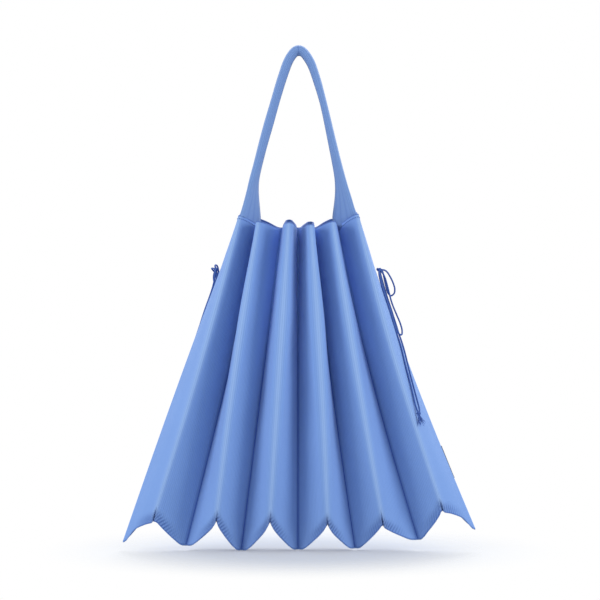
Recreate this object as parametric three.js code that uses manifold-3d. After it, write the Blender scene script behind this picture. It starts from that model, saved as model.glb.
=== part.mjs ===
// Accordion bag: a knitted tote whose whole body is pleated, so that it opens like a fan from a
// small mouth to a wide zigzag hem. One strap rises from the two ends of the mouth, a string tied
// in a bow hangs on each side fold, and a small plain tag is sewn beside the right side fold.
//
// Millimetres, +Z up, -Y is the front. The origin is the underside of the strap's top, where a
// hook, a hand or a shoulder carries the bag, so the bag hangs below it.

import * as THREE from "three";
import Module from "manifold-3d";
import { mergeVertices } from "three/addons/utils/BufferGeometryUtils.js";

const wasm = await Module();
wasm.setup();

// Driving sizes of the bag
const STRAP_DROP = 180; // from the strap's underside down to the mouth's rim
const BODY_HEIGHT = 339; // from the rim down to the lowest tip of the hem
const RIM_WIDTH = 124; // between the side folds at the rim
const HEM_WIDTH = 372; // between the two side tips of the hem
const PANEL_WIDTH = 42; // knit between one fold and the next
const KNIT = 2; // thickness of the knitted wall
const GAP = 0.3; // clearance between two pieces that touch
const WALL_GAP = 0.9; // and to the pleated wall, whose flat facets stand a little off its curves

// How far the front and back valley folds stand off the middle plane
const MOUTH_SWELL = 12.6;
const BELLY_SWELL = 23; // half way down, where the bag is filled
const SEAM_SWELL = 1.6; // at the bottom seam, where front and back are joined

// Fold radii, at the middle of the wall
const VALLEY_RADIUS = 1.8;
const SIDE_RADIUS = 2.4;
const LEAST_RADIUS = KNIT / 2 + 0.35;
const RIM_CREASE = 0.45; // ridges are pressed this much sharper at the rim
const CREASE_SPAN = 0.35; // share of the height over which they round out

// The strap is one wide band folded lengthwise, its open side inwards
const STRAP_DEPTH = 11;
const STRAP_WIDTH = 30;
const STRAP_TUCK = 12; // how far its right end reaches down inside the rim
const STRAP_CURL = 2.5; // fold radius at its two edges
const STRAP_CROWN = 6; // and along the middle of its back

// The bow on each side fold
const TIE_DROP = 44; // from the rim down to the knot
const CORD = 1.8;
const KNOT_RADIUS = 3.2;
const KNOT_SHIFT = { left: 3.5, right: 1.5 }; // how far along the panel a knot is from its fold
const KNOT_GAP = { left: WALL_GAP, right: 0.5 }; // between a knot and its panel
const END_KNOT_RADIUS = 2.6;
const TUFT_LENGTH = 11;

// The tag beside the right side fold
const TAG_DROP = 230; // from the rim down to its top edge
const TAG_LENGTH = 34;
const TAG_WIDTH = 18;
const TAG_THICK = 0.8;

const RIM_Z = -STRAP_DROP;
const HEM_Z = RIM_Z - BODY_HEIGHT;

// The folds of the front, from the left side fold to the right one. The back mirrors them.
// rimX, hemX: shares of half the rim and half the hem. bow: sideways bend at half height, a share
// of the panel's width. rimUp, hemUp, slitUp: heights above the rim's and the hem's low line,
// shares of the panel's width; a ridge's hemUp is its notch at the bottom seam and its slitUp the
// top of the notch at the front. swell: share of the swell. round: ridge radius, a share of the
// panel's width.
const FOLDS = [
  { kind: "side", rimX: -0.983, hemX: -0.994, bow: -0.04, rimUp: 0.26, hemUp: 0.2 },
  { kind: "ridge", rimX: -0.976, hemX: -0.803, bow: 0.07, rimUp: 0.31, hemUp: 0.68, slitUp: 1.03, round: 0.08 },
  { kind: "valley", rimX: -0.627, hemX: -0.64, bow: 0.035, rimUp: 0.04, hemUp: 0.12, swell: 0.5 },
  { kind: "ridge", rimX: -0.652, hemX: -0.463, bow: -0.03, rimUp: 0.26, hemUp: 0.7, slitUp: 0.81, round: 0.13 },
  { kind: "valley", rimX: -0.295, hemX: -0.327, bow: 0, rimUp: 0, hemUp: 0, swell: 1 },
  { kind: "ridge", rimX: -0.166, hemX: -0.163, bow: 0, rimUp: 0.24, hemUp: 0.68, slitUp: 0.78, round: 0.17 },
  { kind: "valley", rimX: -0.017, hemX: -0.006, bow: 0, rimUp: 0, hemUp: 0.02, swell: 1 },
  { kind: "ridge", rimX: 0.186, hemX: 0.158, bow: 0.02, rimUp: 0.19, hemUp: 0.62, slitUp: 0.76, round: 0.17 },
  { kind: "valley", rimX: 0.225, hemX: 0.317, bow: -0.04, rimUp: 0, hemUp: 0.05, swell: 0.83 },
  { kind: "ridge", rimX: 0.542, hemX: 0.462, bow: -0.045, rimUp: 0.26, hemUp: 0.585, slitUp: 0.95, round: 0.14 },
  { kind: "valley", rimX: 0.633, hemX: 0.673, bow: -0.11, rimUp: 0.05, hemUp: 0.265, swell: 0.5 },
  { kind: "ridge", rimX: 0.957, hemX: 0.795, bow: -0.11, rimUp: 0.35, hemUp: 0.95, slitUp: 1.22, round: 0.08 },
  { kind: "side", rimX: 0.975, hemX: 0.994, bow: -0.107, rimUp: 0.26, hemUp: 0.52 },
];
const LEFT = 0;
const RIGHT = FOLDS.length - 1;

// The hem's outline from a low fold to the next notch, as shares of the way across and up
const SCALLOP = [
  { across: 0, up: 0 },
  { across: 0.16, up: 0.02 },
  { across: 0.45, up: 0.3 },
  { across: 0.73, up: 0.63 },
];
const SIDE_TIP = [
  { across: 0, up: 0 },
  { across: 0.08, up: 0.08 },
  { across: 0.28, up: 0.5 },
  { across: 0.62, up: 0.83 },
];
const FLOOR_RISE = 1.4; // a floor panel lies at about 45 degrees, so its wall is this much taller
const FLOOR_REACH = 1.6 * PANEL_WIDTH; // past the deepest ridge at the hem

// Heights of the wall's level rings, as shares of the way from the rim down to the hem
const LEVELS = [0.06, 0.16, 0.27, 0.38, 0.49, 0.59, 0.68, 0.73, 0.78, 0.87, 0.95, 1.03];
const FLOOR_LEVELS = LEVELS.slice(-4);
const RIDGE_STEPS = 3;
const VALLEY_STEPS = 2;

// The strap's outer line from the left end over the top to the right end. across: share of half
// the rim's width. up: height below the strap's top, a share of the drop. deep: share of the
// strap's depth. gather: how much of the end's shape is left. spread: the same for the width.
const STRAP = [
  { across: -0.963, up: -0.963, deep: 1.4, gather: 0.8, spread: 0.88 },
  { across: -0.889, up: -0.877, deep: 1.15, gather: 0.25, spread: 0.58 },
  { across: -0.83, up: -0.754, deep: 0.9, gather: 0.04, spread: 0.24 },
  { across: -0.706, up: -0.608, deep: 0.88, gather: 0, spread: 0.06 },
  { across: -0.605, up: -0.457, deep: 1, gather: 0, spread: 0 },
  { across: -0.492, up: -0.317, deep: 0.96, gather: 0, spread: 0 },
  { across: -0.398, up: -0.212, deep: 0.95, gather: 0, spread: 0 },
  { across: -0.305, up: -0.118, deep: 0.95, gather: 0, spread: 0 },
  { across: -0.2, up: -0.046, deep: 0.97, gather: 0, spread: 0 },
  { across: -0.1, up: -0.009, deep: 1, gather: 0, spread: 0 },
  { across: 0, up: 0, deep: 1, gather: 0, spread: 0 },
  { across: 0.094, up: -0.012, deep: 1, gather: 0, spread: 0 },
  { across: 0.179, up: -0.042, deep: 0.95, gather: 0, spread: 0 },
  { across: 0.289, up: -0.107, deep: 0.88, gather: 0, spread: 0 },
  { across: 0.381, up: -0.2, deep: 0.8, gather: 0, spread: 0 },
  { across: 0.466, up: -0.317, deep: 0.74, gather: 0, spread: 0 },
  { across: 0.55, up: -0.457, deep: 0.76, gather: 0, spread: 0 },
  { across: 0.666, up: -0.608, deep: 0.88, gather: 0, spread: 0.06 },
  { across: 0.776, up: -0.754, deep: 1.1, gather: 0.08, spread: 0.24 },
  { across: 0.865, up: -0.877, deep: 1.3, gather: 0.4, spread: 0.6 },
  { across: 0.94, up: -0.958, deep: 1.5, gather: 0.85, spread: 0.9 },
];
const STRAP_STEPS = 2; // stations for each row of the table
const STRAP_FOLD_STEPS = 2;
const STRAP_FOLDS = { left: [2, 1, 0], right: [10, 11, 12] };

// The cords of a bow, each from the knot: out (away from the bag), back and up, in millimetres
const CORD_ROUTES = {
  right: {
    loop_short: [
      [3.3, 0.9, -0.2], [5.8, 1.4, -0.7], [8.4, 1.8, -2.6], [10.9, 2.1, -6.3], [13.2, 2.3, -10.6],
      [15.2, 2.5, -15.4], [16.5, 2.7, -20.4], [15.8, 3, -25.2], [12.6, 3.5, -27.6], [9.5, 4, -24.9],
      [7.7, 4.5, -19.4], [6.3, 5.1, -13.4], [5.2, 5.8, -8], [4.4, 6, -4.2], [3.3, 5.2, -1.6],
      [1.75, 3, -0.5],
    ],
    loop_long: [
      [2.6, -0.5, -2.3], [4.4, -0.8, -4.9], [6.2, -1.2, -8.8], [8.6, -1.4, -16.9], [11, -1.6, -26.6],
      [13.8, -1.8, -36.2], [18.2, -2, -46.9], [22, -2.4, -56], [24, -3.8, -63.5],
      [23.4, -6.8, -68], [20.4, -9.2, -66.6], [17.2, -9.6, -59.8], [14.2, -9.2, -51.6],
      [11.2, -8.4, -41], [7.6, -7.2, -30.8], [3.9, -5.6, -18], [1.5, -3.4, -8.5], [0.35, -1.2, -3.3],
    ],
    tail_front: [
      [-0.2, -3.35, -1.6], [-0.3, -5.1, -3.5], [0.1, -6.5, -6.9], [1.1, -7.8, -11.5],
      [2.8, -9, -17.8], [4.9, -10, -24.5], [7.1, -10.8, -31], [9.3, -11.5, -37.5],
      [11.4, -12.1, -43.5], [13, -12.6, -49], [14.6, -13, -55], [16.7, -13.4, -62],
      [18.9, -14, -68.5], [21.2, -14.8, -75.5], [23.5, -16.6, -84], [25.5, -19, -92.5],
      [27.2, -21.2, -100], [29.9, -24, -110.5], [32.6, -26.6, -120.5], [34.9, -29, -130.5],
      [36.8, -31.2, -138.8], [39.2, -33.2, -146],
    ],
    tail_back: [
      [1.1, 1.7, -3.1], [1.7, 2.4, -5.6], [2.6, 2.2, -8.8], [3.7, 1.7, -12.8], [5.8, 0.8, -20],
      [8.8, -0.4, -30], [12.5, -2, -41], [15.3, -3.2, -50], [17.9, -3.9, -58], [20.3, -4.3, -66],
      [23.6, -5.6, -75.5], [26.4, -8.3, -85], [28.4, -11.1, -93], [30, -13.6, -100],
      [32.6, -17.2, -110.5], [35.2, -20.8, -120.5], [37.8, -24.6, -130.5], [39.9, -28.4, -138.4],
      [40.9, -31, -142.4], [41.3, -33, -145.8],
    ],
  },
  left: {
    loop_short: [
      [1.05, -2.6, 2.1], [1.5, -5, 3.5], [0.8, -9, 4.2], [-0.6, -13.8, 2.8], [-1.6, -18.4, -1.2],
      [-1.6, -21.8, -7], [-0.6, -23.2, -14], [1.2, -22, -20.2], [2.2, -18.8, -22.8],
      [1.8, -15.8, -19.6], [0.4, -14.2, -13], [0.8, -12.2, -7], [2.6, -9.8, -2.8],
      [4.6, -6.6, -0.2], [4.8, -3.8, 1], [3.1, -1.6, 0.9],
    ],
    loop_long: [
      [0.2, -3.4, -1.1], [0, -6.2, -3], [-0.4, -9.2, -7.5], [0.8, -11.2, -14], [2.8, -12, -22],
      [5.1, -12.6, -30], [8.1, -14.2, -39], [10.8, -17, -48], [12.4, -20, -56],
      [13.9, -21, -62.5], [15.9, -18.4, -67.6], [17.1, -14, -67.6], [15.8, -11.4, -62],
      [13.6, -10.4, -53], [11, -9.4, -44], [7.4, -8.6, -34], [3.8, -8.2, -24], [2.4, -7, -16],
      [3, -4.9, -10.6], [2.8, -2.7, -5.9], [1.75, -1.25, -2.8],
    ],
    tail_front: [
      [-0.35, -1.95, -3], [-0.7, -2.9, -6], [0.4, -3.7, -11], [2.4, -4.1, -18],
      [4.8, -4.3, -24.5], [7.2, -4.5, -31], [9.6, -4.7, -37.5], [11.7, -5, -43.5],
      [13.6, -5.4, -49], [15.1, -6, -55], [17.3, -6.8, -62], [19.3, -7.8, -68.5],
      [21.4, -9.4, -75.5], [23.8, -12, -84], [25.4, -15.2, -92.5], [26.8, -18.2, -100],
      [29.2, -22, -110.5], [31.9, -25.4, -120.5], [34.6, -28.2, -130.5], [36.8, -30.6, -138.8],
      [39.2, -33.2, -146],
    ],
    tail_back: [
      [0.75, 2.2, -2.8], [1.2, 2.7, -5.4], [1.8, 2.2, -9.2], [2.6, 1.2, -13.6], [4.2, -0.2, -20],
      [7.6, -0.9, -30], [11.6, -1.3, -41], [14.6, -1.8, -50], [17.1, -2.4, -58],
      [19.8, -3.2, -66], [22.9, -4.8, -75.5], [25.5, -7.6, -85], [27.2, -10.4, -93],
      [28.8, -13, -100], [31.4, -17.2, -110.5], [34, -20.6, -120.5], [36.9, -24.4, -130.5],
      [39.5, -28.2, -138.4], [40.9, -31, -142.4], [41.3, -33, -145.8],
    ],
  },
};
const END_KNOT = [40.3, -34.4, -148.6];
const TUFTS = [
  [0.12, -0.16, -0.98],
  [0.5, -0.1, -0.86],
];

const lerp = THREE.MathUtils.lerp;
const point = ([x, y, z]) => new THREE.Vector3(x, y, z);

const rimZ = (fold) => RIM_Z + fold.rimUp * PANEL_WIDTH;
const notchZ = (fold) => HEM_Z + fold.hemUp * PANEL_WIDTH;
const slitZ = (fold) => HEM_Z + (fold.slitUp ?? fold.hemUp) * PANEL_WIDTH;
const hemX = (fold) => (fold.hemX * HEM_WIDTH) / 2;

// How far down its own length a fold is at height z: 0 at the rim and 1 at the hem
const downShare = (fold, z) => (rimZ(fold) - z) / (rimZ(fold) - slitZ(fold));

function foldX(fold, z) {
  const down = downShare(fold, z);
  const bend = Math.sin(Math.PI * THREE.MathUtils.clamp(down, 0, 1));
  return lerp((fold.rimX * RIM_WIDTH) / 2, hemX(fold), down) + fold.bow * PANEL_WIDTH * bend;
}

function valleyY(fold, z) {
  const down = THREE.MathUtils.clamp(downShare(fold, z), 0, 1);
  const belly = BELLY_SWELL - (MOUTH_SWELL + SEAM_SWELL) / 2;
  const swell = lerp(MOUTH_SWELL, SEAM_SWELL, down) + belly * 4 * down * (1 - down);
  return -Math.max(SEAM_SWELL, fold.swell * swell);
}

// A ridge stands as far in front of its two neighbours as a panel's width allows
function ridgeY(index, z) {
  const reach = [index - 1, index + 1].map((next) => {
    const run = foldX(FOLDS[index], z) - foldX(FOLDS[next], z);
    const y = FOLDS[next].kind === "side" ? 0 : valleyY(FOLDS[next], z);
    return y - Math.sqrt(Math.max(PANEL_WIDTH ** 2 - run ** 2, 0));
  });
  return (reach[0] + reach[1]) / 2;
}

// One fold at height z, as the rod that the knit is bent round: turn 1 is a fold that points
// outwards and -1 one that points in
function frontRod(index, z) {
  const fold = FOLDS[index];
  const x = foldX(fold, z);
  if (fold.kind === "side") {
    const inward = index === LEFT ? SIDE_RADIUS : -SIDE_RADIUS;
    return { x: x + inward, y: 0, z, radius: SIDE_RADIUS, turn: 1 };
  }
  if (fold.kind === "valley") {
    return { x, y: valleyY(fold, z) - VALLEY_RADIUS, z, radius: VALLEY_RADIUS, turn: -1 };
  }
  const opened = THREE.MathUtils.smoothstep(downShare(fold, z), 0, CREASE_SPAN);
  const radius = Math.max(fold.round * PANEL_WIDTH * lerp(RIM_CREASE, 1, opened), LEAST_RADIUS);
  return { x, y: ridgeY(index, z) + radius, z, radius, turn: 1 };
}

const backOf = (rod) => ({ ...rod, y: -rod.y });

// All folds round the bag at one height, or along the wavy rim, counter-clockwise from above
function rodsAt(height) {
  const front = FOLDS.map((fold, index) => frontRod(index, height === "rim" ? rimZ(fold) : height));
  const back = front.slice(1, -1).reverse().map(backOf);
  return [...front, ...back];
}

// The angle of the outward normal of the straight run between two rods
function runAngle(from, to) {
  const [dx, dy] = [to.x - from.x, to.y - from.y];
  const slant = Math.asin((from.turn * from.radius - to.turn * to.radius) / Math.hypot(dx, dy));
  return Math.atan2(dy, dx) - Math.PI / 2 + slant;
}

// The turn from one heading to another, the short way
const turnTo = (from, to) => Math.atan2(Math.sin(to - from), Math.cos(to - from));

// The line of the knit bent round a row of rods and moved outwards, with steps + 1 points on each
// rod. An open row starts and ends with one point, on its first and last rod.
function bendRound(rods, outwards, steps, open = false) {
  const count = rods.length;
  const runs = rods.map((rod, i) => runAngle(rod, rods[(i + 1) % count]));
  return rods.flatMap((rod, i) => {
    const isEnd = open && (i === 0 || i === count - 1);
    const from = open && i === 0 ? runs[0] : runs[(i + count - 1) % count];
    const swing = isEnd ? 0 : turnTo(from, runs[i]);
    const reach = rod.turn * rod.radius + outwards;
    const last = isEnd ? 0 : steps(rod);
    return Array.from({ length: last + 1 }, (_, k) => {
      const angle = from + (last ? (swing * k) / last : 0);
      return new THREE.Vector3(rod.x + reach * Math.cos(angle), rod.y + reach * Math.sin(angle), rod.z);
    });
  });
}

const wallRing = (height, outwards) =>
  bendRound(rodsAt(height), outwards, (rod) => (rod.turn > 0 ? RIDGE_STEPS : VALLEY_STEPS));

const levelZ = (share) => RIM_Z - share * BODY_HEIGHT;

// A closed body through rings of equally many points, each counter-clockwise as seen from the
// next one. cap gives the triangles that close a ring; without it the last ring joins the first.
// The facets lean the same way on a falling side as on a rising one, so that the inside of a
// twisted wall follows its outside.
function loft(rings, cap = null) {
  const size = rings[0].length;
  const positions = rings.flat().flatMap((p) => [p.x, p.y, p.z]);
  const triangles = [];
  const joints = cap ? rings.length - 1 : rings.length;
  for (let r = 0; r < joints; r += 1) {
    const low = r * size;
    const high = ((r + 1) % rings.length) * size;
    const falls = rings[r][0].z > rings[(r + 1) % rings.length][0].z;
    for (let j = 0; j < size; j += 1) {
      const next = (j + 1) % size;
      const [a, b, c, d] = [low + j, low + next, high + next, high + j];
      triangles.push(...(falls ? [a, b, d, b, c, d] : [a, b, c, a, c, d]));
    }
  }
  if (cap) {
    const last = (rings.length - 1) * size;
    cap(rings[0]).forEach(([a, b, c]) => triangles.push(a, c, b));
    cap(rings.at(-1)).forEach(([a, b, c]) => triangles.push(last + a, last + b, last + c));
  }
  const geometry = new THREE.BufferGeometry();
  geometry.setAttribute("position", new THREE.Float32BufferAttribute(positions, 3));
  geometry.setIndex(triangles);
  return geometry;
}

// Caps for a ring that lies flat, by the two axes that it is seen along, and for a band's section
const flatCap = (u, v) => (ring) =>
  THREE.ShapeUtils.triangulateShape(ring.map((p) => new THREE.Vector2(p[u], p[v])), []);

function bandCap(ring) {
  const last = ring.length - 1;
  return Array.from({ length: ring.length / 2 - 1 }, (_, i) => i).flatMap((i) => [
    [i, i + 1, last - i],
    [i + 1, last - i - 1, last - i],
  ]);
}

// A closed geometry as a solid that can be joined and cut, and back again
function solidOf(geometry) {
  const bare = new THREE.BufferGeometry();
  bare.setAttribute("position", geometry.getAttribute("position"));
  bare.setIndex(geometry.index);
  const merged = mergeVertices(bare, 1e-4);
  return new wasm.Manifold(
    new wasm.Mesh({
      numProp: 3,
      vertProperties: new Float32Array(merged.getAttribute("position").array),
      triVerts: new Uint32Array(merged.index.array),
    }),
  );
}

function geometryOf(solid) {
  const { vertProperties, triVerts } = solid.getMesh();
  const geometry = new THREE.BufferGeometry();
  geometry.setAttribute("position", new THREE.Float32BufferAttribute(vertProperties, 3));
  geometry.setIndex(Array.from(triVerts));
  return geometry;
}

// The hem's outline at depth y, from the left tip to the right one, raised by lift
function hemLine(y, lift) {
  const line = [];
  for (let i = 0; i + 2 <= RIGHT; i += 2) {
    const [start, ridge, end] = FOLDS.slice(i, i + 3);
    const depth = -ridgeY(i + 1, slitZ(ridge));
    const top = lerp(notchZ(ridge), slitZ(ridge), Math.abs(y) / depth) + lift;
    const place = (low, { across, up }) =>
      new THREE.Vector3(lerp(hemX(low), hemX(ridge), across), y, lerp(slitZ(low) + lift, top, up));
    const outline = (low) => (low.kind === "side" ? SIDE_TIP : SCALLOP);
    line.push(...outline(start).map((share) => place(start, share)));
    line.push(new THREE.Vector3(hemX(ridge), y, top));
    line.push(...outline(end).slice(1).reverse().map((share) => place(end, share)));
  }
  const tip = FOLDS[RIGHT];
  return [...line, new THREE.Vector3(hemX(tip), y, slitZ(tip) + lift)];
}

// Everything below the hem's outline, front to back
function belowHem(lift) {
  const rings = [-FLOOR_REACH, 0, FLOOR_REACH].map((y) => {
    const line = hemLine(y, lift);
    const ends = [line[line.length - 1], line[0]];
    const corner = (x, z) => new THREE.Vector3(x, y, z);
    const sides = [
      corner(HEM_WIDTH, ends[0].z),
      corner(HEM_WIDTH, HEM_Z - HEM_WIDTH),
      corner(-HEM_WIDTH, HEM_Z - HEM_WIDTH),
      corner(-HEM_WIDTH, ends[1].z),
    ];
    return [...line, ...sides];
  });
  return solidOf(loft(rings, flatCap("z", "x")));
}

// The pleated wall from rim to hem, closed below by the floor that is folded in under each ridge
function bodyGeometry() {
  const rising = [...LEVELS].reverse().map(levelZ);
  const outside = [...rising, "rim"].map((height) => wallRing(height, KNIT / 2));
  const inside = ["rim", ...LEVELS.map(levelZ)].map((height) => wallRing(height, -KNIT / 2));
  const wall = solidOf(loft([...outside, ...inside]));
  const plugRings = [...FLOOR_LEVELS].reverse().map((share) => wallRing(levelZ(share), 0));
  const plug = solidOf(loft(plugRings, flatCap("x", "y")));
  const floor = plug.intersect(belowHem(KNIT * FLOOR_RISE));
  return geometryOf(wall.add(floor).subtract(belowHem(0)));
}

// A fold moved in by a distance, so that a band bent round it lies inside the wall
function insetRod(rods, i, inset) {
  const rod = rods[i];
  if (rod.turn < 0) return { ...rod, radius: rod.radius + inset };
  const before = runAngle(rods[i - 1], rod);
  const turned = turnTo(before, runAngle(rod, rods[i + 1]));
  const half = (Math.PI - turned) / 2;
  const middle = before + turned / 2;
  const shift = (LEAST_RADIUS - rod.radius + inset) / Math.sin(half);
  return {
    ...rod,
    x: rod.x - shift * Math.cos(middle),
    y: rod.y - shift * Math.sin(middle),
    radius: LEAST_RADIUS,
  };
}

// The rods that one end of the strap is bent round, back to front, at a height above the rim. The
// left end stands on the rim and the right one lies inside it.
function endRods(side, height) {
  const [valley, ridge, fold] = STRAP_FOLDS[side].map((i) => frontRod(i, rimZ(FOLDS[i]) + height));
  const row = [backOf(valley), backOf(ridge), fold, ridge, valley];
  if (side === "left") return row;
  const round = row.reverse();
  return round.map((rod, i) => insetRod(round, i, KNIT + WALL_GAP)).reverse();
}

// The strap's table as stations from end to end, with the places on the rim worked out
function strapRows() {
  const rise = ({ across, up, ...rest }) => {
    const origin = new THREE.Vector3((across * RIM_WIDTH) / 2, 0, up * STRAP_DROP + STRAP_DEPTH);
    return { ...rest, origin };
  };
  const onRim = (index, height, outwards) => {
    const z = rimZ(FOLDS[index]) + height;
    const origin = new THREE.Vector3(foldX(FOLDS[index], z) + outwards, 0, z);
    return { origin, deep: 1.5, gather: 1, spread: 1 };
  };
  return [
    onRim(LEFT, GAP, -KNIT / 2),
    ...STRAP.map(rise),
    onRim(RIGHT, KNIT, -KNIT / 2 - WALL_GAP),
    onRim(RIGHT, -STRAP_TUCK, -KNIT / 2 - WALL_GAP),
  ];
}

// The strap's section at one station, as a ring in space
function strapRing(side, origin, tangent, { deep, gather, spread }) {
  const sign = side === "left" ? 1 : -1;
  const fold = FOLDS[STRAP_FOLDS[side][2]];
  const height = Math.min(origin.z - rimZ(fold), KNIT);
  const half = STRAP_WIDTH / 2;
  const arm = { x: deep * STRAP_DEPTH, y: 0.55 * half, radius: 0.5 };
  const corner = { x: KNIT + STRAP_CURL, y: half - KNIT / 2 - STRAP_CURL, radius: STRAP_CURL };
  const crown = { x: KNIT / 2 + STRAP_CROWN, y: 0, radius: STRAP_CROWN };
  const free = [arm, corner, crown, backOf(corner), backOf(arm)];
  const rods = endRods(side, height).map((rod, i) => ({
    x: lerp(free[i].x, sign * (rod.x - origin.x), gather),
    y: lerp(free[i].y, rod.y, spread),
    z: (rod.z - rimZ(fold) - height) * gather,
    radius: lerp(free[i].radius, rod.radius, gather),
    turn: rod.turn,
  }));
  const along = tangent.clone().lerp(new THREE.Vector3(0, 0, sign), gather).normalize();
  const inward = new THREE.Vector3(along.z, 0, -along.x);
  const steps = () => STRAP_FOLD_STEPS;
  const section = [
    ...bendRound(rods, KNIT / 2, steps, true),
    ...bendRound(rods, -KNIT / 2, steps, true).reverse(),
  ];
  return section.map(({ x, y, z }) =>
    origin.clone().addScaledVector(inward, x).add(new THREE.Vector3(0, y, z)),
  );
}

function strapGeometry() {
  const rows = strapRows();
  const curve = new THREE.CatmullRomCurve3(rows.map((row) => row.origin), false, "centripetal");
  const top = STRAP.findIndex((row) => row.up === 0) + 1;
  const count = (rows.length - 1) * STRAP_STEPS;
  const rings = Array.from({ length: count + 1 }, (_, i) => {
    const place = i / STRAP_STEPS;
    const [from, to] = [rows[Math.floor(place)], rows[Math.min(Math.ceil(place), rows.length - 1)]];
    const mix = (name) => lerp(from[name], to[name], place - Math.floor(place));
    const shape = { deep: mix("deep"), gather: mix("gather"), spread: mix("spread") };
    const share = i / count;
    return strapRing(place <= top ? "left" : "right", curve.getPoint(share), curve.getTangent(share), shape);
  });
  return loft(rings, bandCap);
}

// A blank tag that lies along the back panel next to the right side fold
function tagGeometry() {
  const rings = [1, 0.5, 0].map((share) => {
    const drop = TAG_DROP + share * TAG_LENGTH;
    const fold = frontRod(RIGHT, RIM_Z - drop);
    const ridge = backOf(frontRod(RIGHT - 1, RIM_Z - drop));
    const angle = runAngle(fold, ridge);
    const outward = new THREE.Vector3(Math.cos(angle), Math.sin(angle), 0);
    const along = new THREE.Vector3(-outward.y, outward.x, 0);
    const corner = (out, across) =>
      new THREE.Vector3(fold.x, fold.y, fold.z)
        .addScaledVector(outward, fold.radius + KNIT / 2 + WALL_GAP + out)
        .addScaledVector(along, across);
    return [corner(0, 0), corner(TAG_THICK, 0), corner(TAG_THICK, TAG_WIDTH), corner(0, TAG_WIDTH)];
  });
  return loft(rings, flatCap("x", "y"));
}

// Where a bow's knot sits: against the panel in front of the right side fold, and against the one
// behind the left side fold, which is the same place after half a turn
function knotPlace(side) {
  const z = RIM_Z - TIE_DROP;
  const index = side === "left" ? LEFT : RIGHT;
  const fold = frontRod(index, z);
  const ridge = frontRod(side === "left" ? LEFT + 1 : RIGHT - 1, z);
  const angle = side === "left" ? runAngle(backOf(ridge), fold) : runAngle(ridge, fold);
  const lean = Math.atan(foldX(FOLDS[index], z - 0.5) - foldX(FOLDS[index], z + 0.5));
  const reach = (SIDE_RADIUS + KNIT / 2 + KNOT_GAP[side] + KNOT_RADIUS) / Math.cos(lean);
  const shift = KNOT_SHIFT[side];
  return new THREE.Vector3(
    fold.x + reach * Math.cos(angle) + shift * Math.sin(angle),
    fold.y + reach * Math.sin(angle) - shift * Math.cos(angle),
    z,
  );
}

function cordGeometry(route) {
  const path = new THREE.CatmullRomCurve3(route.map(point), false, "centripetal");
  const section = new THREE.Shape();
  section.absarc(0, 0, CORD / 2, 0, 2 * Math.PI);
  const steps = Math.round(path.getLength() / (3 * CORD));
  const options = { steps, curveSegments: 4, extrudePath: path, bevelEnabled: false };
  return new THREE.ExtrudeGeometry(section, options);
}

function knotGeometry() {
  const lump = solidOf(new THREE.SphereGeometry(KNOT_RADIUS, 14, 10));
  const tip = new THREE.SphereGeometry(CORD / 2, 8, 6).translate(0, 0, KNOT_RADIUS);
  return geometryOf(lump.add(solidOf(tip)));
}

// The knot that joins the two tails, with a frayed tuft for each
function endKnotGeometry() {
  const up = new THREE.Vector3(0, 1, 0);
  return geometryOf(
    TUFTS.reduce((knot, direction) => {
      const turn = new THREE.Quaternion().setFromUnitVectors(up, point(direction).normalize());
      const tuft = new THREE.CylinderGeometry(0.9 * CORD, 0.6 * CORD, TUFT_LENGTH, 8)
        .translate(0, END_KNOT_RADIUS / 2 + TUFT_LENGTH / 2, 0)
        .applyQuaternion(turn);
      return knot.add(solidOf(tuft));
    }, solidOf(new THREE.SphereGeometry(END_KNOT_RADIUS, 12, 8))),
  );
}

const knit = new THREE.MeshStandardMaterial({ color: "#7290d0", roughness: 0.9 });
const cordYarn = new THREE.MeshStandardMaterial({ color: "#3d5796", roughness: 0.95 });
const tagCloth = new THREE.MeshStandardMaterial({ color: "#6a7180", roughness: 0.8 });

function named(name, geometry, material) {
  const mesh = new THREE.Mesh(geometry, material);
  mesh.name = name;
  return mesh;
}

function bow(side) {
  const group = new THREE.Group();
  group.add(named(`tie_${side}_knot`, knotGeometry(), cordYarn));
  Object.entries(CORD_ROUTES[side]).forEach(([name, route]) =>
    group.add(named(`tie_${side}_${name}`, cordGeometry(route), cordYarn)),
  );
  const endKnot = named(`tie_${side}_end_knot`, endKnotGeometry(), cordYarn);
  endKnot.position.copy(point(END_KNOT));
  group.add(endKnot);
  group.position.copy(knotPlace(side));
  group.rotation.z = side === "left" ? Math.PI : 0;
  return group;
}

const bag = new THREE.Group();
bag.add(named("pleated_body", bodyGeometry(), knit));
bag.add(named("strap", strapGeometry(), knit));
bag.add(named("side_tag", tagGeometry(), tagCloth));
bag.add(bow("left"), bow("right"));

export default bag;
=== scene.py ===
"""Accordion bag: a pleated, knitted tote that hangs by its strap over a pale studio floor.

Lengths are in millimetres up to the meshes, which are in metres, +Z up and -Y the front. The
origin is the underside of the strap's top.
"""

import math

import bpy
import numpy as np
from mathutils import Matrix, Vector


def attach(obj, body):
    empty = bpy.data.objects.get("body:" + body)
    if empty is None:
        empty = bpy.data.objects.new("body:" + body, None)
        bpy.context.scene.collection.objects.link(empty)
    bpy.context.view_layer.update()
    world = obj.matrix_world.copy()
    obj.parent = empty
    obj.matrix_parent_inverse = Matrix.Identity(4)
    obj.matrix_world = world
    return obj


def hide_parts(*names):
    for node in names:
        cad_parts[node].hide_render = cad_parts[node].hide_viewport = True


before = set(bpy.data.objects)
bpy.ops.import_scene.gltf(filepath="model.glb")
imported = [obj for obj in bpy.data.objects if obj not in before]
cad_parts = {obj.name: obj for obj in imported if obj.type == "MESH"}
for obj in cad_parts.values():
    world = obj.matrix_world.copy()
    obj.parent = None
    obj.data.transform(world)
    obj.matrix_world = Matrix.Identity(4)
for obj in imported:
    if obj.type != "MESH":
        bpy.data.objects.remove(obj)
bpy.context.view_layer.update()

MM = 0.001

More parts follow.
